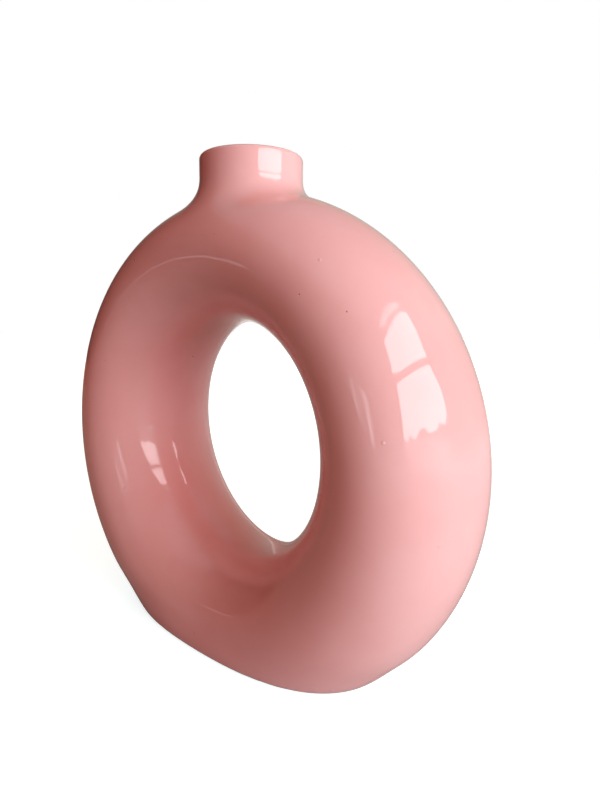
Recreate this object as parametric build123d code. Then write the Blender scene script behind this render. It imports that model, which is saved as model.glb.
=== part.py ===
from build123d import *
from math import cos, radians, sin, sqrt
import os

# A hollow glazed-ceramic donut vase. Millimetres, +Z up, the front is -Y.
# The origin is the middle of the flat foot that the vase stands on.
# The body is two moulded half rings joined on the plane Y = 0. A neck is let
# into a boss on top of the ring, and an oval floor closes the foot from below.

# Ring
ring_width = 200.0
ring_depth = 64.0
hole_diameter = 93.4
hole_rise = 5.0
wall = 5.0

# Neck
neck_diameter = 40.0
neck_height = 14.0
neck_wall = 5.0
root_radius = 7.5
lip_round_share = 0.4

# Stepped joint between the neck and the boss that it stands in
joint_rise = 2.0
spigot_wall = 2.5
spigot_length = 14.0

# Foot
foot_length = 122.6
foot_rim = 7.0
foot_recess = 1.5
floor_thickness = 5.0

# Length by which every cutting shape runs past what it cuts
overrun = 10.0

# Straight strips that the curved faces are drawn in, and sides of the hollow
outside_strips = 24
hollow_strips = 12
hollow_sides = 24
root_strips = 6
lip_strips = 3

ring_radius = ring_width / 2
hole_radius = hole_diameter / 2
half_depth = ring_depth / 2
neck_radius = neck_diameter / 2
mouth_radius = neck_radius - neck_wall
spigot_radius = mouth_radius + spigot_wall
ring_centre_height = sqrt(ring_radius**2 - (foot_length / 2) ** 2)
crown_height = ring_centre_height + ring_radius
lip_height = crown_height + neck_height
floor_height = foot_recess + floor_thickness

# The flared root leaves the neck where a ball of its radius rests on the crown
root_reach = neck_radius + root_radius
root_top = ring_centre_height + sqrt((ring_radius + root_radius) ** 2 - root_reach**2)
joint_height = root_top + joint_rise


def tube_at(angle):
    """Half thickness of the ring at an angle from +X, and the radius of its middle line."""
    inner = hole_radius + hole_rise * sin(radians(angle))
    return (ring_radius - inner) / 2, (ring_radius + inner) / 2


def ring_plane(angle, middle):
    """The plane across the ring's tube at an angle from +X."""
    outward = Vector(cos(radians(angle)), 0, sin(radians(angle)))
    along = Vector(-outward.Z, 0, outward.X)
    origin = Vector(0, 0, ring_centre_height) + outward * middle
    return Plane(origin=origin, x_dir=outward, z_dir=along)


def oval(plane, half_length, half_width):
    """A flat oval on a plane, in a front and a back arc that meet on the plane's X axis."""
    front = EllipticalCenterArc((0, 0), half_length, half_width, start_angle=180, arc_size=180)
    back = EllipticalCenterArc((0, 0), half_length, half_width, start_angle=0, arc_size=180)
    return plane * make_face([front, back])


def outside_section(angle):
    """One section of the ring's outside."""
    half_radial, middle = tube_at(angle)
    return oval(ring_plane(angle, middle), half_radial, half_depth)


def hollow_section(angle):
    """One section of the ring's hollow, a close polygon one wall inside."""
    half_radial, middle = tube_at(angle)
    corners = []
    for count in range(hollow_sides):
        turn = radians(360 * count / hollow_sides)
        corners.append(((half_radial - wall) * cos(turn), (half_depth - wall) * sin(turn)))
    return ring_plane(angle, middle) * make_face(Polyline(corners, close=True))


def whole_ring(section, strips):
    """A closed ring. Its hole sits above its centre, so the tube is thickest at the foot."""
    step = 180 / strips
    upper = loft([section(step * count) for count in range(strips + 1)], ruled=True)
    lower = loft([section(180 + step * count) for count in range(strips + 1)], ruled=True)
    return upper + lower


def below(height):
    """Everything under a height, wider and deeper than the ring."""
    low = -ring_radius
    width = ring_width + 2 * overrun
    depth = ring_depth + 2 * overrun
    return Pos(0, 0, (low + height) / 2) * Box(width, depth, height - low)


def upright(radius, low, high):
    """A round bar on the neck's axis, between two heights."""
    return Pos(0, 0, (low + high) / 2) * Cylinder(radius, high - low)


def side_touch():
    """How a ball of the root's radius rests between the neck and the front of the crown.

    Gives the height of the ball's centre, and how far out and how high it touches the crown.
    """
    half_radial, middle = tube_at(90)
    upright_lean, level_lean = 0, 90
    for halving in range(40):
        lean = radians((upright_lean + level_lean) / 2)
        out = half_depth * sin(lean)
        rise = half_radial * cos(lean)
        slope = Vector(out / half_depth**2, rise / half_radial**2).normalized()
        if out + root_radius * slope.X < root_reach:
            upright_lean = (upright_lean + level_lean) / 2
        else:
            level_lean = (upright_lean + level_lean) / 2
    touch_height = ring_centre_height + middle + rise
    return touch_height + root_radius * slope.Y, out, touch_height


def root_half(height, ball_height, touch_out):
    """Half width of the flared root at a height, no wider than where it meets the crown."""
    drop = min(max(ball_height - height, 0), root_radius)
    return min(root_reach - sqrt(root_radius**2 - drop**2), touch_out)


def neck_root():
    """The flare under the neck, lofted through level ovals and ending inside the crown."""
    side_ball, side_out, side_height = side_touch()
    end_out = root_reach * ring_radius / (ring_radius + root_radius)
    bottom = side_height - root_radius / 2
    ovals = []
    for count in range(root_strips + 1):
        height = root_top + (bottom - root_top) * count / root_strips
        half_length = root_half(height, root_top, end_out)
        half_width = root_half(height, side_ball, side_out)
        ovals.append(oval(Plane.XY.offset(height), half_length, half_width))
    return loft(ovals, ruled=True)


def floor_oval(low, high):
    """The oval that the floor fills, one rim inside the edge of the foot."""
    half_radial, middle = tube_at(-90)
    drop = (ring_centre_height - middle) / half_radial
    half_length = foot_length / 2 - foot_rim
    half_width = half_depth * sqrt(1 - drop**2) - foot_rim
    return extrude(oval(Plane.XY.offset(low), half_length, half_width), high - low)


def half_shells():
    """The two moulded halves of the ring, front and back, each with half of the boss."""
    boss_start = crown_height - neck_radius
    shell = whole_ring(outside_section, outside_strips) + neck_root()
    shell += upright(neck_radius, boss_start, joint_height)
    shell -= whole_ring(hollow_section, hollow_strips) - below(floor_height)
    shell -= upright(spigot_radius, boss_start - neck_radius, joint_height + overrun)
    shell -= below(0)
    shell -= floor_oval(-overrun, floor_height)
    return split(shell, Plane.XZ, keep=Keep.TOP), split(shell, Plane.XZ, keep=Keep.BOTTOM)


def lip_corner(edge, side):
    """Points of the rounded lip, from an upright wall of the neck to its flat top."""
    lip_radius = neck_wall * lip_round_share
    points = []
    for count in range(lip_strips + 1):
        turn = radians(90 * count / lip_strips)
        out = edge - side * lip_radius * (1 - cos(turn))
        points.append((out, 0, lip_height - lip_radius * (1 - sin(turn))))
    return points


def neck_collar():
    """The neck, turned with a rounded lip and a spigot that stands in the boss."""
    spigot_end = joint_height - spigot_length
    profile = [(mouth_radius, 0, spigot_end), (spigot_radius, 0, spigot_end)]
    profile += [(spigot_radius, 0, joint_height), (neck_radius, 0, joint_height)]
    profile += lip_corner(neck_radius, 1) + lip_corner(mouth_radius, -1)[::-1]
    return revolve(make_face(Polyline(profile, close=True)), Axis.Z)


pieces = {}
pieces["front_shell"], pieces["back_shell"] = half_shells()
pieces["neck_collar"] = neck_collar()
pieces["floor_slab"] = floor_oval(foot_recess, floor_height)

os.makedirs("parts", exist_ok=True)
for name, piece in pieces.items():
    export_step(piece, f"parts/{name}.step")
    box = piece.bounding_box()
    print(name, "solids", len(piece.solids()), "volume", round(piece.volume), "valid", piece.is_valid)
    print("   from", box.min, "to", box.max)
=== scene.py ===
from math import atan2, cos, hypot, pi, radians, sin, sqrt

import bmesh
import bpy
import numpy as np
from mathutils import Matrix, Vector


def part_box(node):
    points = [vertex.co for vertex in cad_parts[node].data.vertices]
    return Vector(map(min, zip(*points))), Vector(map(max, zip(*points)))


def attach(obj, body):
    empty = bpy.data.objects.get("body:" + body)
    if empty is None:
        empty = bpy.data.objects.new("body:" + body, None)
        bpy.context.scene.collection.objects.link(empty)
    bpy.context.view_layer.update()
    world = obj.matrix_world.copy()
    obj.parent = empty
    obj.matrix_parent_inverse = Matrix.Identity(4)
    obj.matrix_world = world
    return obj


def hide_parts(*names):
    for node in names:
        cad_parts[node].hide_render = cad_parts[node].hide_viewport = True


bl_info = {
    "name": "Donut Vase",
    "version": (1, 0, 0),
    "blender": (4, 5, 0),
    "location": "View3D > Sidebar > Vase",
    "description": "Models a glazed hollow ring vase on its bare clay foot",
    "category": "Add Mesh",
}

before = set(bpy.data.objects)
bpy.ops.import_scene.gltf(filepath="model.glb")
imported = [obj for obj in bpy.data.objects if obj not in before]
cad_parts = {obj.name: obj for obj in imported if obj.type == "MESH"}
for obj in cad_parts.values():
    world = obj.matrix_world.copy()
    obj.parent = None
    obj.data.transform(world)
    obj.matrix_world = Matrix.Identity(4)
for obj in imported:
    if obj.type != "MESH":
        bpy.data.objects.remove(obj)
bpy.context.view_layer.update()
shell_low, shell_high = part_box("front_shell")
collar_low, collar_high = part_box("neck_collar")
slab_low, slab_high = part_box("floor_slab")


def length(name, default, description):
    """A size in metres for the sidebar."""
    return bpy.props.FloatProperty(
        name=name, description=description, default=default, min=0.0, unit="LENGTH", precision=4
    )


def colour(name, default, description):
    """A linear colour for the sidebar."""
    return bpy.props.FloatVectorProperty(
        name=name, description=description, default=default, min=0.0, max=1.0, size=3, subtype="COLOR"
    )


class VaseSizes(bpy.types.PropertyGroup):
    """The sizes that the vase is drawn from."""

    ring_radius: length("Ring radius", shell_high.x * 0.9997, "Outer radius of the ring")
    half_depth: length("Half depth", -shell_low.y, "Half of the ring's depth along its hole")
    centre_height: length("Centre height", 0.07901, "Height of the ring's centre above the foot")
    hole_radius: length("Hole radius", 0.0467, "Radius of the hole through the ring")
    hole_rise: length("Hole rise", 0.005, "How far the hole sits above the ring's centre")
    sag: length("Sag", 0.00065, "How far the fired ring sags between its crown and its shoulders")
    wall: length("Wall", 0.005, "Thickness of the fired clay")
    neck_radius: length("Neck radius", collar_high.x, "Outer radius of the neck")
    lip_height: length("Lip height", collar_high.z, "Height of the lip above the foot")
    lip_round: length("Lip rounding", 0.002, "Radius of the lip's rounded edges")
    root_blend: length("Root blend", 0.0088, "Width of the flare between the neck and the ring")
    foot_swell: length("Foot swell", 0.0003, "How far the edge of the foot swells outwards")
    foot_cove: length("Foot cove", 0.0004, "Depth of the hollow pressed in above the edge of the foot")
    foot_round: length("Foot rounding", 0.0018, "Radius of the rounded edge round the foot")
    floor_length: length("Floor half length", slab_high.x, "Half length of the oval floor")
    floor_width: length("Floor half width", slab_high.y, "Half width of the oval floor")
    floor_under: length("Floor underside", slab_low.z, "Height of the floor's underside")
    floor_top: length("Floor top", slab_high.z, "Height of the floor's upper side")


class VaseColours(bpy.types.PropertyGroup):
    """The colours of the glaze and the clay."""

    glaze: colour("Glaze", (0.78, 0.37, 0.36), "Pink of the glaze")
    glaze_pooled: colour("Pooled glaze", (0.76, 0.33, 0.32), "Deeper pink where the glaze is thick")
    # Paler pink over the top of the lip: thin glaze there, and a painted highlight along the lip's
    # edge
    glaze_thin_and_lit: colour("Thin glaze", (0.82, 0.50, 0.46), "Paler pink where the glaze thins at the lip")
    pinhole: colour("Pinhole", (0.16, 0.07, 0.06), "Dark of the pinholes in the glaze")
    clay: colour("Clay", (0.72, 0.62, 0.52), "Bare fired clay")
    clay_speck: colour("Clay speck", (0.42, 0.31, 0.24), "Iron specks in the bare clay")


class VaseStage(bpy.types.PropertyGroup):
    """How the vase is shown."""

    azimuth: bpy.props.FloatProperty(
        name="Azimuth", description="Camera's turn to the right of the front", default=radians(40.78),
        subtype="ANGLE",
    )
    elevation: bpy.props.FloatProperty(
        name="Elevation", description="Camera's height above the level", default=radians(8.77),
        subtype="ANGLE",
    )
    roll: bpy.props.FloatProperty(
        name="Roll", description="Camera's lean", default=radians(0.71), subtype="ANGLE",
    )
    distance: length("Distance", 0.2218, "From the camera to the point it looks at")
    window_light: bpy.props.FloatProperty(
        name="Window light", description="Brightness of the window panes", default=6.5, min=0.0,
    )
    floor_white: bpy.props.FloatProperty(
        name="Floor white", description="How white the floor is shown near the vase", default=0.86,
        min=0.0,
    )
    fill: bpy.props.FloatProperty(
        name="Fill", description="Brightness of the soft light that the room throws back", default=1.0,
        min=0.0,
    )
    lens: bpy.props.FloatProperty(
        name="Lens", description="Focal length on a 36 mm long side", default=26.15, min=1.0,
        unit="CAMERA",
    )


# Shapes, as distances in metres from a point to a surface

FOOT_EDGE_REACH = 0.005
FOOT_COVE_HEIGHT = 0.011
FOOT_COVE_REACH = 0.006
NECK_START_SHARE = 0.75
SLOPE_STEP = 1e-5
LEAST_SLOPE_SQUARED = 0.25


def ring_distance(points, sizes, inset):
    """About how far points lie outside the ring, whose hole sits above its centre."""
    rise = points[:, 2] - sizes.centre_height
    radius = np.hypot(points[:, 0], rise) + 1e-9
    lift = rise / radius
    third = 3 * lift - 4 * lift**3
    outer = sizes.ring_radius - sizes.sag * third - inset
    inner = sizes.hole_radius + sizes.hole_rise * lift + sizes.sag * third + inset
    half_radial = (outer - inner) / 2
    half_depth = sizes.half_depth - inset
    across = (radius - (outer + inner) / 2) / half_radial
    along = points[:, 1] / half_depth
    return (np.hypot(across, along) - 1) * np.sqrt(half_radial * half_depth)


def foot_swell(height, sizes):
    """How far the clay stands out near the foot, where the edge swells over a shallow cove."""
    edge = sizes.foot_swell * np.exp(-((height / FOOT_EDGE_REACH) ** 2))
    cove = sizes.foot_cove * np.exp(-(((height - FOOT_COVE_HEIGHT) / FOOT_COVE_REACH) ** 2))
    return edge - cove


def blended(first, second, width):
    """The lower of two distances, with a soft fillet of a width where they meet."""
    share = np.clip(0.5 + 0.5 * (second - first) / width, 0, 1)
    return second + (first - second) * share - width * share * (1 - share)


def outside_distance(points, sizes):
    """About how far points lie outside the vase under its lip, with its foot cut flat and rounded."""
    height = points[:, 2]
    ring = ring_distance(points, sizes, 0) - foot_swell(height, sizes)
    neck = np.hypot(points[:, 0], points[:, 1]) - sizes.neck_radius
    neck_start = sizes.centre_height + sizes.ring_radius * NECK_START_SHARE
    neck = np.maximum(neck, neck_start - height)
    body = blended(ring, neck, sizes.root_blend)
    edge = sizes.foot_round
    over = np.maximum(body + edge, 0)
    under = np.maximum(edge - height, 0)
    inside = np.minimum(np.maximum(body + edge, edge - height), 0)
    cut_body = np.hypot(over, under) - edge + inside
    return np.where(height < sizes.ring_radius / 2, cut_body, body)


def hollow_distance(points, sizes):
    """About how far points lie outside the hollow of the ring."""
    return ring_distance(points, sizes, sizes.wall)


def laid_on(places, distance, sizes):
    """Moves points onto a surface, along its slope."""
    for attempt in range(8):
        here = distance(places, sizes)
        slope = np.empty_like(places)
        for axis in range(3):
            step = np.zeros(3)
            step[axis] = SLOPE_STEP
            slope[:, axis] = (distance(places + step, sizes) - here) / SLOPE_STEP
        steepness = np.maximum((slope**2).sum(1), LEAST_SLOPE_SQUARED)
        places = places - slope * (here / steepness)[:, None]
    return places


def settle(piece, distance, sizes):
    """Moves a mesh's corners onto a surface."""
    flat = np.empty(len(piece.data.vertices) * 3)
    piece.data.vertices.foreach_get("co", flat)
    places = laid_on(flat.reshape(-1, 3), distance, sizes)
    piece.data.vertices.foreach_set("co", places.reshape(-1))
    piece.data.update()


def height_on(distance, sizes, across, along, low, high):
    """Height at which an upright line leaves a surface, searched between two heights."""
    for attempt in range(40):
        middle = (low + high) / 2
        if distance(np.array([[across, along, middle]]), sizes)[0] < 0:
            low = middle
        else:
            high = middle
    return (low + high) / 2


# Edit mode

def clear_selection():
    """Deselects every object."""
    if bpy.context.mode != "OBJECT":
        bpy.ops.object.mode_set(mode="OBJECT")
    bpy.ops.object.select_all(action="DESELECT")


def edit_only(piece):
    """Enters edit mode on one piece."""
    clear_selection()
    piece.select_set(True)
    bpy.context.view_layer.objects.active = piece
    bpy.ops.object.mode_set(mode="EDIT")


def choose_faces(piece, test):
    """Selects only the faces whose middles pass a test."""
    bpy.ops.mesh.select_mode(type="FACE")
    bpy.ops.mesh.select_all(action="DESELECT")
    mesh = bmesh.from_edit_mesh(piece.data)
    for face in mesh.faces:
        face.select_set(test(face.calc_center_median()))
    bmesh.update_edit_mesh(piece.data)


def choose_open_edges(piece, test):
    """Selects only the open edges whose ends pass a test."""
    bpy.ops.mesh.select_mode(type="EDGE")
    bpy.ops.mesh.select_all(action="DESELECT")
    mesh = bmesh.from_edit_mesh(piece.data)
    for edge in mesh.edges:
        if edge.is_boundary and all(test(corner.co) for corner in edge.verts):
            edge.select_set(True)
    bmesh.update_edit_mesh(piece.data)


def lay_selected(piece, place):
    """Lays the selected corners round the upright axis, evenly, at the places a function gives."""
    mesh = bmesh.from_edit_mesh(piece.data)
    corners = [corner for corner in mesh.verts if corner.select]
    corners.sort(key=lambda corner: (atan2(corner.co.y, corner.co.x) + 0.01) % (2 * pi))
    for count, corner in enumerate(corners):
        turn = 2 * pi * count / len(corners)
        corner.co = place(cos(turn), sin(turn))
    bmesh.update_edit_mesh(piece.data)


def extrude_to(piece, place):
    """Extrudes the selected open edge by one ring of faces and lays it out."""
    bpy.ops.mesh.extrude_region()
    lay_selected(piece, place)


def oval_at(half_length, half_width, height):
    """Places on a level oval."""
    return lambda out, side: Vector((out * half_length, side * half_width, height))


def apply_subdivision(piece, levels):
    """Finishes a piece with a subdivision surface."""
    clear_selection()
    piece.select_set(True)
    bpy.context.view_layer.objects.active = piece
    smooth = piece.modifiers.new("smooth", "SUBSURF")
    smooth.levels = levels
    smooth.render_levels = levels
    bpy.ops.object.modifier_apply(modifier=smooth.name)


# The vase

RING_SIDES = 72
TUBE_SIDES = 32
CROWN_TURN = radians(20)
CROWN_SIDE = sin(radians(67.5))
FOOT_TURN = radians(45)
CROWN_RADII = (0.0330, 0.0300, 0.0272, 0.0248, 0.0228, 0.0213, 0.0204)
FOOT_HEIGHTS = (0.005, 0.0026, 0.0011)
HOLLOW_CROWN_RADII = (0.024, 0.0205, 0.0175)
HOLLOW_FOOT_HEIGHTS = (0.0078,)
NECK_RUN = 0.0065
NECK_SHARES = (0.35, 0.7, 1.0)
FOOT_RIM_INSETS = (0.0006, 0.0025)
LIP_TURNS = (18, 36, 54, 72, 90)
BORE_STEPS = 4
RIM_STEPS = 3
FLOOR_SIDES = 160
FLOOR_EDGE_RISE = 0.0004
FLOOR_UNDER_INSETS = (
    (0.0002, 0.0001), (0.0006, 0), (0.004, 0.0001), (0.009, 0.0002), (0.015, 0.0003),
)
SMOOTH_UNDER = radians(40)


def slice_oval(sizes, inset, height):
    """Half length and half width of the ring's level section near its foot."""
    drop = sizes.centre_height - height
    outer = sizes.ring_radius - inset
    inner = sizes.hole_radius - sizes.hole_rise + inset
    lean = (drop - (outer + inner) / 2) / ((outer - inner) / 2)
    return sqrt(outer**2 - drop**2), (sizes.half_depth - inset) * sqrt(1 - lean**2)


def open_ring(name, sizes, inset, distance, crown_radii, foot_heights):
    """A hollow ring from a torus, opened at its crown and foot and drawn in there ring by ring."""
    clear_selection()
    outer = sizes.ring_radius - inset
    inner = sizes.hole_radius + inset
    bpy.ops.mesh.primitive_torus_add(
        major_segments=RING_SIDES, minor_segments=TUBE_SIDES, major_radius=(outer + inner) / 2,
        minor_radius=(outer - inner) / 2, location=(0, 0, sizes.centre_height),
        rotation=(pi / 2, 0, 0),
    )
    piece = bpy.context.object
    piece.name = name
    bpy.ops.object.transform_apply(location=True, rotation=True, scale=True)
    bpy.ops.object.mode_set(mode="EDIT")
    bpy.ops.mesh.select_all(action="SELECT")
    deepen = (sizes.half_depth - inset) * 2 / (outer - inner)
    bpy.ops.transform.resize(value=(1, deepen, 1), center_override=(0, 0, sizes.centre_height))
    bpy.ops.object.mode_set(mode="OBJECT")
    settle(piece, lambda points, sizes: ring_distance(points, sizes, inset), sizes)
    edit_only(piece)
    middle = (outer + inner) / 2

    def in_crown(spot):
        rise = spot.z - sizes.centre_height
        near_top = abs(atan2(spot.x, rise)) < CROWN_TURN and hypot(spot.x, rise) > middle
        return near_top and abs(spot.y) < (sizes.half_depth - inset) * CROWN_SIDE

    def in_foot(spot):
        drop = sizes.centre_height - spot.z
        outside_middle = hypot(spot.x, drop) > middle - sizes.hole_rise / 2
        return abs(atan2(spot.x, drop)) < FOOT_TURN and outside_middle

    choose_faces(piece, in_crown)
    bpy.ops.mesh.delete(type="FACE")
    choose_open_edges(piece, lambda spot: spot.z > sizes.centre_height)
    low = sizes.centre_height + middle

    def on_crown(across, along):
        return Vector((
            across, along, height_on(distance, sizes, across, along, low, sizes.lip_height),
        ))

    for radius in crown_radii:
        extrude_to(piece, lambda out, side: on_crown(out * radius, side * radius))
    choose_faces(piece, in_foot)
    bpy.ops.mesh.delete(type="FACE")
    choose_open_edges(piece, lambda spot: spot.z < sizes.centre_height)
    for height in foot_heights:
        extrude_to(piece, oval_at(*slice_oval(sizes, inset, height), height))
    return piece


def neck_and_lip(piece, sizes):
    """Draws the neck's open edge over the rounded lip and down the bore."""
    choose_open_edges(piece, lambda spot: spot.z > sizes.centre_height)
    lip_round = sizes.lip_round
    bore = sizes.neck_radius - sizes.wall
    start = sizes.lip_height - lip_round
    for turn in LIP_TURNS:
        out = sizes.neck_radius - lip_round * (1 - cos(radians(turn)))
        extrude_to(piece, oval_at(out, out, start + lip_round * sin(radians(turn))))
    for turn in (*reversed(LIP_TURNS), 0):
        out = bore + lip_round * (1 - cos(radians(turn)))
        extrude_to(piece, oval_at(out, out, start + lip_round * sin(radians(turn))))
    for step in range(1, BORE_STEPS + 1):
        height = start + (collar_low.z - start) * step / BORE_STEPS
        extrude_to(piece, oval_at(bore, bore, height))


def foot_rim(piece, sizes):
    """Lays the foot's open edge on the floor's oval and draws it up to the floor's upper side."""
    choose_open_edges(piece, lambda spot: spot.z < sizes.centre_height)
    lay_selected(piece, oval_at(sizes.floor_length, sizes.floor_width, 0))
    for step in range(1, RIM_STEPS + 1):
        height = sizes.floor_top * step / RIM_STEPS
        extrude_to(piece, oval_at(sizes.floor_length, sizes.floor_width, height))


def bridge_pair(piece, test):
    """Joins the two open edges that pass a test with faces."""
    choose_open_edges(piece, test)
    bpy.ops.mesh.bridge_edge_loops()


def make_glazed_vase(sizes):
    """The whole glazed clay body, as one closed shell with its hollow."""
    start = sizes.lip_height - sizes.lip_round
    vase = open_ring("glazed_vase", sizes, 0, outside_distance, CROWN_RADII, FOOT_HEIGHTS)
    for share in NECK_SHARES:
        choose_open_edges(vase, lambda spot: spot.z > sizes.centre_height)
        height = start - NECK_RUN * (1 - share)
        extrude_to(vase, oval_at(sizes.neck_radius, sizes.neck_radius, height))
    choose_open_edges(vase, lambda spot: spot.z < sizes.centre_height)
    foot_length, foot_width = slice_oval(sizes, 0, 0)
    for inward in FOOT_RIM_INSETS:
        extrude_to(vase, oval_at(foot_length - inward, foot_width - inward, 0))
    extrude_to(vase, oval_at(sizes.floor_length, sizes.floor_width, 0))
    apply_subdivision(vase, 2)
    settle(vase, outside_distance, sizes)
    edit_only(vase)
    choose_open_edges(vase, lambda spot: spot.z > sizes.centre_height)
    lay_selected(vase, oval_at(sizes.neck_radius, sizes.neck_radius, start))
    neck_and_lip(vase, sizes)
    foot_rim(vase, sizes)

    hollow = open_ring(
        "hollow", sizes, sizes.wall, hollow_distance, HOLLOW_CROWN_RADII, HOLLOW_FOOT_HEIGHTS
    )
    choose_open_edges(hollow, lambda spot: spot.z < sizes.centre_height)
    extrude_to(hollow, oval_at(*slice_oval(sizes, sizes.wall, sizes.floor_top), sizes.floor_top))
    apply_subdivision(hollow, 1)
    settle(hollow, hollow_distance, sizes)
    edit_only(hollow)
    bpy.ops.mesh.select_all(action="SELECT")
    bpy.ops.mesh.normals_make_consistent(inside=True)

    clear_selection()
    hollow.select_set(True)
    vase.select_set(True)
    bpy.context.view_layer.objects.active = vase
    bpy.ops.object.join()
    edit_only(vase)
    bridge_pair(vase, lambda spot: spot.z > sizes.centre_height)
    bridge_pair(vase, lambda spot: spot.z < sizes.centre_height)
    bpy.ops.mesh.select_all(action="SELECT")
    bpy.ops.mesh.normals_make_consistent(inside=False)
    bpy.ops.object.mode_set(mode="OBJECT")
    bpy.ops.object.shade_smooth_by_angle(angle=SMOOTH_UNDER)
    return vase


def make_foot_floor(sizes):
    """The oval floor, set up inside the foot's rim, its underside a little hollow from shrinking."""
    clear_selection()
    bpy.ops.mesh.primitive_circle_add(
        vertices=FLOOR_SIDES, radius=1, fill_type="NOTHING", location=(0, 0, sizes.floor_top)
    )
    slab = bpy.context.object
    slab.name = "foot_floor"
    bpy.ops.object.transform_apply(location=True, rotation=True, scale=True)
    bpy.ops.object.mode_set(mode="EDIT")
    bpy.ops.mesh.select_all(action="SELECT")
    middle = (0, 0, sizes.floor_top)
    bpy.ops.transform.resize(value=(sizes.floor_length, sizes.floor_width, 1), center_override=middle)
    under = sizes.floor_under
    bpy.ops.mesh.select_mode(type="EDGE")
    extrude_to(slab, oval_at(sizes.floor_length, sizes.floor_width, under + FLOOR_EDGE_RISE))
    for inward, rise in FLOOR_UNDER_INSETS:
        half_length = sizes.floor_length - inward
        extrude_to(slab, oval_at(half_length, sizes.floor_width - inward, under + rise))
    bpy.ops.mesh.edge_face_add()
    choose_open_edges(slab, lambda spot: spot.z > (under + sizes.floor_top) / 2)
    bpy.ops.mesh.edge_face_add()
    bpy.ops.mesh.select_all(action="SELECT")
    bpy.ops.mesh.normals_make_consistent(inside=False)
    bpy.ops.object.mode_set(mode="OBJECT")
    bpy.ops.object.shade_smooth_by_angle(angle=SMOOTH_UNDER)
    return slab


# Materials

GLAZE_BUMPS = (
    (0.0555, -0.0255, 0.1500), (0.0660, -0.0005, 0.1535), (-0.0340, -0.0310, 0.1535),
    (0.0005, -0.0320, 0.0085), (0.0955, -0.0170, 0.0670), (-0.0525, -0.0275, 0.0555),
    (0.0585, -0.0190, 0.0045), (0.0825, -0.0290, 0.0980), (0.0175, 0.0, 0.0407),
)
BUMP_RADIUS = 0.0008
BUMP_HEIGHT = 0.00016
PINHOLES = ((0.0525, -0.0315, 0.1395), (0.0675, -0.0275, 0.1345))
PINHOLE_RADIUS = 0.0004
PINHOLE_DEPTH = 0.0002
PINHOLES_SCALE = 45.0
WAVE_HEIGHT = 0.00022
PEEL_HEIGHT = 0.000012
BARE_GRAIN_HEIGHT = 0.00006
BARE_EDGE_WANDER = 0.0012
# Depth under the lip's top over which the glaze turns paler: thin glaze and a painted highlight
THIN_AND_LIT_LIP_DEPTH = 0.0016
CLAY_GRAIN_HEIGHT = 0.00008
CLAY_SPECK_DEPTH = 0.00005
CLAY_SPECK_RADIUS = 0.0006
CLAY_SPECKS_SCALE = 320.0


def feed(tree, socket, value):
    """Sets an input to a value, or links another node's output to it."""
    if isinstance(value, bpy.types.NodeSocket):
        tree.links.new(value, socket)
    else:
        socket.default_value = value


def add_node(tree, kind, options=None, **inputs):
    """Adds a node with its options and its inputs."""
    made = tree.nodes.new(kind)
    for name, value in (options or {}).items():
        setattr(made, name, value)
    for name, value in inputs.items():
        feed(tree, made.inputs[name.replace("_", " ")], value)
    return made


def combined(tree, operation, first, second):
    """One number from two."""
    made = add_node(tree, "ShaderNodeMath", {"operation": operation})
    feed(tree, made.inputs[0], first)
    feed(tree, made.inputs[1], second)
    return made.outputs[0]


def ramp(tree, value, low, high, at_low=0.0, at_high=1.0):
    """A number that runs smoothly between two values while its input runs from low to high."""
    return add_node(
        tree, "ShaderNodeMapRange", {"interpolation_type": "SMOOTHSTEP"}, Value=value,
        From_Min=low, From_Max=high, To_Min=at_low, To_Max=at_high,
    ).outputs[0]


def mixed(tree, share, first, second):
    """A colour between two others."""
    made = add_node(tree, "ShaderNodeMix", {"data_type": "RGBA"})
    feed(tree, made.inputs[0], share)
    for index, value in ((6, first), (7, second)):
        if not isinstance(value, bpy.types.NodeSocket):
            value = (*value, 1)
        feed(tree, made.inputs[index], value)
    return made.outputs[2]


def noise(tree, where, scale, detail):
    """Soft noise of a scale."""
    return add_node(tree, "ShaderNodeTexNoise", Vector=where, Scale=scale, Detail=detail).outputs[0]


def spots(tree, where, places, radius):
    """One near the middle of any of the places and nought away from them."""
    total = 0.0
    for place in places:
        away = add_node(tree, "ShaderNodeVectorMath", {"operation": "DISTANCE"})
        feed(tree, away.inputs[0], where)
        feed(tree, away.inputs[1], tuple(place))
        near = ramp(tree, away.outputs["Value"], 0.0, radius, 1.0, 0.0)
        total = combined(tree, "MAXIMUM", near, total)
    return total


def scattered_specks(tree, where, scale, radius):
    """Round specks at random places, one near the middle of each and nought between them."""
    cells = add_node(tree, "ShaderNodeTexVoronoi", Vector=where, Scale=scale)
    return ramp(tree, cells.outputs["Distance"], radius * scale * 0.4, radius * scale, 1.0, 0.0)


def new_material(name):
    """A node material, its tree and its principled shader."""
    material = bpy.data.materials.new(name)
    material.use_nodes = True
    tree = material.node_tree
    shader = tree.nodes["Principled BSDF"]
    return material, tree, shader


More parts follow.
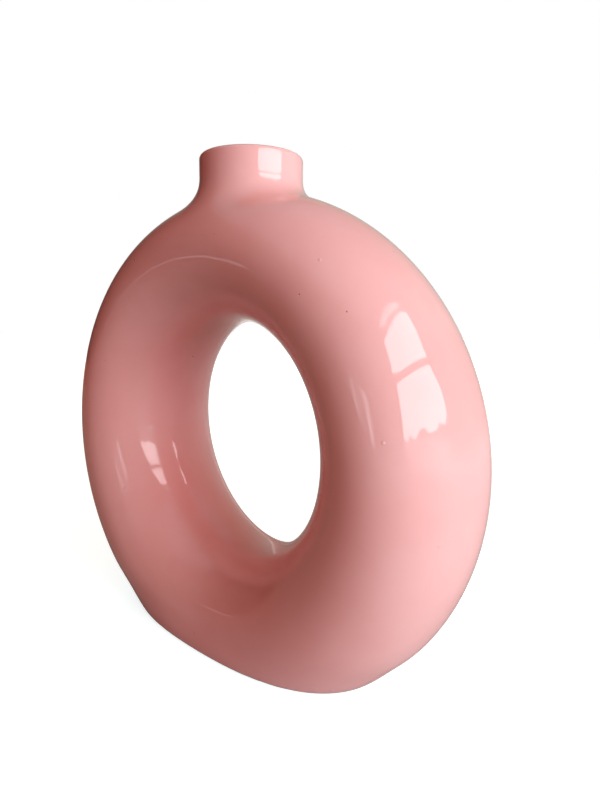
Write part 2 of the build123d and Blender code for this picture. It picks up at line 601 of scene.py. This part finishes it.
def glaze_material(colours, sizes):
    """High-gloss opaque pink glaze, thin and paler over the lip with a painted highlight there, and
    bare clay under the edge of the foot.
    """
    material, tree, shader = new_material("pink_glaze")
    where = add_node(tree, "ShaderNodeTexCoord").outputs["Object"]
    height = add_node(tree, "ShaderNodeSeparateXYZ", Vector=where).outputs["Z"]
    bump_places = laid_on(np.array(GLAZE_BUMPS), outside_distance, sizes)
    hole_places = laid_on(np.array(PINHOLES), outside_distance, sizes)
    bumps = spots(tree, where, bump_places, BUMP_RADIUS)
    holes = spots(tree, where, hole_places, PINHOLE_RADIUS)
    more_holes = scattered_specks(tree, where, PINHOLES_SCALE, PINHOLE_RADIUS)
    holes = combined(tree, "MAXIMUM", holes, more_holes)

    cloud = ramp(tree, noise(tree, where, 24.0, 3.0), 0.35, 0.7)
    runs = add_node(tree, "ShaderNodeMapping", Vector=where, Scale=(1.0, 1.0, 0.18)).outputs[0]
    runs = ramp(tree, noise(tree, runs, 110.0, 2.0), 0.4, 0.65, 0.0, 0.3)
    tint = mixed(tree, combined(tree, "MAXIMUM", cloud, runs), colours.glaze, colours.glaze_pooled)
    lip = sizes.lip_height
    # Paler towards the top of the lip: thin glaze, and a painted highlight along the lip's edge
    thin_and_lit = ramp(tree, height, lip - THIN_AND_LIT_LIP_DEPTH, lip - 0.0002, 0.0, 0.35)
    tint = mixed(tree, thin_and_lit, tint, colours.glaze_thin_and_lit)
    tint = mixed(tree, holes, tint, colours.pinhole)

    wander = combined(tree, "MULTIPLY", noise(tree, where, 90.0, 2.0), BARE_EDGE_WANDER)
    bare = ramp(tree, combined(tree, "SUBTRACT", height, wander), 0.0001, 0.0005, 1.0, 0.0)
    grain = noise(tree, where, 900.0, 3.0)
    clay = mixed(tree, grain, colours.clay, colours.clay_speck)
    feed(tree, shader.inputs["Base Color"], mixed(tree, bare, tint, clay))

    gloss = ramp(tree, noise(tree, where, 40.0, 3.0), 0.3, 0.7, 0.035, 0.08)
    feed(tree, shader.inputs["Roughness"], combined(tree, "MAXIMUM", gloss, bare))
    shader.inputs["IOR"].default_value = 1.5

    wave = combined(tree, "MULTIPLY", noise(tree, where, 30.0, 2.0), WAVE_HEIGHT)
    peel = combined(tree, "MULTIPLY", noise(tree, where, 260.0, 2.0), PEEL_HEIGHT)
    relief = combined(tree, "ADD", wave, peel)
    relief = combined(tree, "ADD", relief, combined(tree, "MULTIPLY", bumps, BUMP_HEIGHT))
    relief = combined(tree, "SUBTRACT", relief, combined(tree, "MULTIPLY", holes, PINHOLE_DEPTH))
    rough = combined(tree, "MULTIPLY", grain, bare)
    relief = combined(tree, "ADD", relief, combined(tree, "MULTIPLY", rough, BARE_GRAIN_HEIGHT))
    surface = add_node(tree, "ShaderNodeBump", Height=relief, Distance=1.0)
    feed(tree, shader.inputs["Normal"], surface.outputs[0])
    return material


def clay_material(colours):
    """Bare fired clay with iron specks."""
    material, tree, shader = new_material("bare_clay")
    where = add_node(tree, "ShaderNodeTexCoord").outputs["Object"]
    cloud = ramp(tree, noise(tree, where, 35.0, 4.0), 0.3, 0.75, 0.0, 0.35)
    specks = scattered_specks(tree, where, CLAY_SPECKS_SCALE, CLAY_SPECK_RADIUS)
    tint = mixed(tree, cloud, colours.clay, colours.clay_speck)
    feed(tree, shader.inputs["Base Color"], mixed(tree, specks, tint, colours.clay_speck))
    grain = noise(tree, where, 700.0, 4.0)
    feed(tree, shader.inputs["Roughness"], ramp(tree, grain, 0.3, 0.7, 0.78, 0.95))
    relief = combined(tree, "MULTIPLY", grain, CLAY_GRAIN_HEIGHT)
    pits = combined(tree, "MULTIPLY", specks, CLAY_SPECK_DEPTH)
    relief = combined(tree, "SUBTRACT", relief, pits)
    surface = add_node(tree, "ShaderNodeBump", Height=relief, Distance=1.0)
    feed(tree, shader.inputs["Normal"], surface.outputs[0])
    return material


# Stage

LAMP_AWAY = 1.5
VASE_MIDDLE = Vector((0, 0, 0.1))
CAMERA_TARGET = Vector((0.0263, 0, 0.1009))
FLOOR_RADIUS = 3.0
CARD_COLOUR = (0.95, 0.98, 1.0, 1)
FLOOR_COLOUR = (0.5, 0.5, 0.5, 1)
FLOOR_GLOW = (0.9, 1, 1, 1)
ROOM_DIM = (0.02, 0.02, 0.02)
ROOM_BEHIND = (0.42, 0.48, 0.42)
ROOM_OVERHEAD = (0.3, 0.52, 0.6)

# Azimuth right of the front, elevation, width, height, power and colour of each lamp
LAMPS = {
    "window_sill": (90, -2, 0.8, 0.3, 26.5, (0.47, 0.97, 1.0)),
    "window_front": (75, 15, 0.8, 0.3, 11.0, (0.86, 0.93, 1.0)),
    "window_back": (105, 5, 0.8, 0.3, 5.6, (0.56, 0.83, 1.0)),
    "skylight": (60, 55, 0.8, 0.8, 2.6, (0.35, 0.85, 1.0)),
    "far_room": (-140, 15, 0.8, 0.8, 7.0, (0.95, 1.0, 0.98)),
}

# The side that each soft light comes from, and its colour
FILLS = {
    "right": ((1, 0, 0), (1.14, 0.42, 0.22)),
    "left": ((-1, 0, 0), (0.07, 0.01, 0.01)),
    "front": ((0, -1, 0), (0.2, 0.01, 0.01)),
    "back": ((0, 1, 0), (0.05, 0.03, 0.03)),
    "overhead": ((0, 0, 1), (0.48, 0.2, 0.08)),
    "below": ((0, 0, -1), (0.05, 0.03, 0.05)),
}

# The walls that bright cards hang on, and each card's wall, brightness, streaks and corners
CARDS_AWAY = 1.2
WALLS = {
    "right": lambda along, height: (CARDS_AWAY, along, height),
    "front": lambda along, height: (along, -CARDS_AWAY, height),
    "left": lambda along, height: (-CARDS_AWAY, along, height),
}
CARDS = {
    "pane_low": ("right", 1.0, 0.0, (
        (-0.67, 0.71), (-0.80, 0.21), (-0.67, 0.19), (-0.58, 0.25), (-0.45, 0.22), (-0.27, 0.30),
        (-0.16, 0.32), (-0.10, 0.27), (0.12, 0.29), (0.20, 0.34), (0.35, 0.32), (0.48, 0.39),
        (0.53, 0.56), (0.47, 0.82), (-0.34, 0.74),
    )),
    "pane_high": ("right", 1.0, 0.0, (
        (-0.70, 0.83), (-0.43, 0.81), (0.28, 0.89), (0.50, 0.91), (0.66, 1.29), (0.74, 1.61),
        (0.49, 1.62), (-0.07, 1.42), (-0.60, 1.26),
    )),
    "pane_top": ("right", 0.6, 0.0, (
        (-0.54, 1.47), (-0.32, 1.45), (0.16, 1.61), (0.69, 1.75), (0.61, 1.86), (0.27, 1.82),
        (-0.33, 1.60),
    )),
    "sill": ("right", 0.16, 0.0, (
        (-0.85, 0.16), (-0.70, 0.02), (0.30, 0.01), (0.42, 0.20), (-0.20, 0.24),
    )),
    "curtain": ("front", 0.6, 0.9, (
        (-0.12, 0.20), (0.02, 0.05), (0.38, 0.0), (0.40, 0.33), (0.10, 0.34),
    )),
    "shelf_edge": ("left", 0.2, 0.0, (
        (-0.85, 0.01), (-0.90, 0.01), (-1.22, 0.25), (-1.18, 0.28),
    )),
}


def towards(azimuth, elevation):
    """The direction from the vase towards an azimuth right of the front and an elevation."""
    level = cos(elevation)
    return Vector((sin(azimuth) * level, -cos(azimuth) * level, sin(elevation)))


def add_lamp(name, azimuth, elevation, width, height, power, colour):
    """A soft rectangular lamp, out of sight in the glaze, that looks at the middle of the vase."""
    light = bpy.data.lights.new(name, "AREA")
    light.shape = "RECTANGLE"
    light.size = width
    light.size_y = height
    light.energy = power
    light.color = colour
    lamp = bpy.data.objects.new(name, light)
    bpy.context.collection.objects.link(lamp)
    lamp.location = VASE_MIDDLE + towards(radians(azimuth), radians(elevation)) * LAMP_AWAY
    lamp.rotation_euler = (VASE_MIDDLE - lamp.location).to_track_quat("-Z", "Y").to_euler()
    lamp.visible_glossy = False


def add_card(name, wall, strength, streaks, corners):
    """A bright card outside the picture that only the glaze mirrors."""
    clear_selection()
    bpy.ops.mesh.primitive_plane_add(size=1, location=(0, 0, 0))
    card = bpy.context.object
    card.name = name
    mesh = bmesh.new()
    mesh.faces.new([mesh.verts.new(WALLS[wall](along, height)) for along, height in corners])
    mesh.to_mesh(card.data)
    mesh.free()
    card.visible_camera = False
    card.visible_diffuse = False
    card.visible_shadow = False
    material, tree, shader = new_material(name)
    shader.inputs["Base Color"].default_value = (0, 0, 0, 1)
    shader.inputs["Specular IOR Level"].default_value = 0
    shader.inputs["Emission Color"].default_value = CARD_COLOUR
    where = add_node(tree, "ShaderNodeTexCoord").outputs["Object"]
    folds = add_node(tree, "ShaderNodeMapping", Vector=where, Scale=(1.0, 1.0, 0.05)).outputs[0]
    dark = ramp(tree, noise(tree, folds, 22.0, 2.0), 0.4, 0.6, 0.0, streaks)
    lost = combined(tree, "MULTIPLY", dark, strength)
    glow = combined(tree, "SUBTRACT", strength, lost)
    feed(tree, shader.inputs["Emission Strength"], glow)
    card.data.materials.append(material)


def fill_light(tree, where, brightness):
    """Soft light from all round, of one colour for each side that it comes from."""
    total = (0, 0, 0)
    for facing, tint in FILLS.values():
        side = add_node(tree, "ShaderNodeVectorMath", {"operation": "DOT_PRODUCT"})
        feed(tree, side.inputs[0], where)
        feed(tree, side.inputs[1], facing)
        front = combined(tree, "MAXIMUM", side.outputs["Value"], 0.0)
        share = combined(tree, "MULTIPLY", front, front)
        light = add_node(tree, "ShaderNodeVectorMath", {"operation": "MULTIPLY_ADD"})
        feed(tree, light.inputs[0], share)
        feed(tree, light.inputs[1], [part * brightness for part in tint])
        feed(tree, light.inputs[2], total)
        total = light.outputs[0]
    return total


def lay_floor(floor_white):
    """A pale floor, shown whiter away from the vase, that the glaze mirrors dimly behind it."""
    clear_selection()
    bpy.ops.mesh.primitive_circle_add(
        vertices=96, radius=FLOOR_RADIUS, fill_type="NGON", location=(0, 0, 0)
    )
    floor = bpy.context.object
    floor.name = "floor"
    material, tree, shader = new_material("pale_floor")
    shader.inputs["Base Color"].default_value = FLOOR_COLOUR
    shader.inputs["Roughness"].default_value = 1.0
    shader.inputs["Specular IOR Level"].default_value = 0
    shader.inputs["Emission Color"].default_value = FLOOR_GLOW
    path = add_node(tree, "ShaderNodeLightPath")
    where = add_node(tree, "ShaderNodeTexCoord").outputs["Object"]
    away = add_node(tree, "ShaderNodeVectorMath", {"operation": "LENGTH"})
    feed(tree, away.inputs[0], where)
    white = ramp(tree, away.outputs["Value"], 0.1, 0.6, floor_white, 1.0)
    behind = add_node(tree, "ShaderNodeSeparateXYZ", Vector=where).outputs["Y"]
    mirrored = ramp(tree, behind, 0.05, 0.7, 0.0, 0.32)
    white = combined(tree, "MULTIPLY", path.outputs["Is Camera Ray"], white)
    mirrored = combined(tree, "MULTIPLY", path.outputs["Is Glossy Ray"], mirrored)
    feed(tree, shader.inputs["Emission Strength"], combined(tree, "ADD", white, mirrored))
    floor.data.materials.append(material)


def make_room(brightness):
    """A white background, a dim room for the glaze to mirror and soft light from all round."""
    world = bpy.data.worlds.new("studio")
    bpy.context.scene.world = world
    world.use_nodes = True
    tree = world.node_tree
    path = add_node(tree, "ShaderNodeLightPath")
    where = add_node(tree, "ShaderNodeTexCoord").outputs["Generated"]
    split = add_node(tree, "ShaderNodeSeparateXYZ", Vector=where)
    behind = ramp(tree, split.outputs["Y"], 0.2, 0.75)
    overhead = ramp(tree, split.outputs["Z"], 0.68, 0.82)
    glossy = mixed(tree, behind, ROOM_DIM, ROOM_BEHIND)
    glossy = mixed(tree, overhead, glossy, ROOM_OVERHEAD)
    fill = fill_light(tree, where, brightness)
    soft = mixed(tree, path.outputs["Is Glossy Ray"], fill, glossy)
    seen = mixed(tree, path.outputs["Is Camera Ray"], soft, (1.0, 1.0, 1.0))
    feed(tree, tree.nodes["Background"].inputs["Color"], seen)


def aim_camera(stage):
    """The camera, turned and leaned like the photograph's."""
    back = towards(stage.azimuth, stage.elevation)
    right = Vector((cos(stage.azimuth), sin(stage.azimuth), 0))
    up = back.cross(right)
    leaned_right = right * cos(stage.roll) + up * sin(stage.roll)
    leaned_up = up * cos(stage.roll) - right * sin(stage.roll)
    lens = bpy.data.cameras.new("camera")
    lens.sensor_fit = "VERTICAL"
    lens.sensor_width = 36
    lens.sensor_height = 36
    lens.lens = stage.lens
    lens.clip_start = 0.01
    camera = bpy.data.objects.new("camera", lens)
    bpy.context.collection.objects.link(camera)
    place = Matrix.Translation(CAMERA_TARGET + back * stage.distance)
    camera.matrix_world = place @ Matrix((leaned_right, leaned_up, back)).transposed().to_4x4()
    bpy.context.scene.camera = camera


def make_stage(stage):
    """Floor, room, lamps, bright cards and camera."""
    lay_floor(stage.floor_white)
    make_room(stage.fill)
    for name, settings in LAMPS.items():
        add_lamp(name, *settings)
    for name, (wall, share, streaks, corners) in CARDS.items():
        add_card(name, wall, stage.window_light * share, streaks, corners)
    aim_camera(stage)
    bpy.context.scene.view_settings.view_transform = "Standard"


# Operators

class VASE_OT_glazed_vase(bpy.types.Operator):
    """Models the hollow ring with its neck, lip and foot rim, and glazes it"""

    bl_idname = "vase.glazed_vase"
    bl_label = "Glazed vase"

    def execute(self, context):
        sizes = context.scene.vase_sizes
        vase = make_glazed_vase(sizes)
        vase.data.materials.clear()
        vase.data.materials.append(glaze_material(context.scene.vase_colours, sizes))
        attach(vase, "root")
        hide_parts("front_shell", "back_shell", "neck_collar")
        return {"FINISHED"}


class VASE_OT_foot_floor(bpy.types.Operator):
    """Models the bare clay floor inside the foot's rim"""

    bl_idname = "vase.foot_floor"
    bl_label = "Foot floor"

    def execute(self, context):
        slab = make_foot_floor(context.scene.vase_sizes)
        slab.data.materials.clear()
        slab.data.materials.append(clay_material(context.scene.vase_colours))
        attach(slab, "root")
        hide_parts("floor_slab")
        return {"FINISHED"}


class VASE_OT_stage(bpy.types.Operator):
    """Sets the pale floor, the lamps and the camera"""

    bl_idname = "vase.stage"
    bl_label = "Stage"

    def execute(self, context):
        make_stage(context.scene.vase_stage)
        return {"FINISHED"}


class VASE_PT_sidebar(bpy.types.Panel):
    """Lists the vase's operators and sizes"""

    bl_idname = "VASE_PT_sidebar"
    bl_label = "Donut Vase"
    bl_space_type = "VIEW_3D"
    bl_region_type = "UI"
    bl_category = "Vase"

    def draw(self, context):
        layout = self.layout
        for operator in OPERATORS:
            layout.operator(operator.bl_idname)
        for group in (context.scene.vase_sizes, context.scene.vase_colours, context.scene.vase_stage):
            box = layout.box()
            for name in group.__annotations__:
                box.prop(group, name)


OPERATORS = (VASE_OT_glazed_vase, VASE_OT_foot_floor, VASE_OT_stage)
GROUPS = {"vase_sizes": VaseSizes, "vase_colours": VaseColours, "vase_stage": VaseStage}


def register():
    """Registers the classes and hangs the properties on the scene."""
    for name, group in GROUPS.items():
        bpy.utils.register_class(group)
        setattr(bpy.types.Scene, name, bpy.props.PointerProperty(type=group))
    for operator in OPERATORS:
        bpy.utils.register_class(operator)
    bpy.utils.register_class(VASE_PT_sidebar)


def unregister():
    """Undoes register."""
    bpy.utils.unregister_class(VASE_PT_sidebar)
    for operator in reversed(OPERATORS):
        bpy.utils.unregister_class(operator)
    for name, group in GROUPS.items():
        delattr(bpy.types.Scene, name)
        bpy.utils.unregister_class(group)


def main():
    """Builds every piece and the stage."""
    register()
    bpy.ops.vase.glazed_vase()
    bpy.ops.vase.foot_floor()
    bpy.ops.vase.stage()


if __name__ == "__main__":
    main()
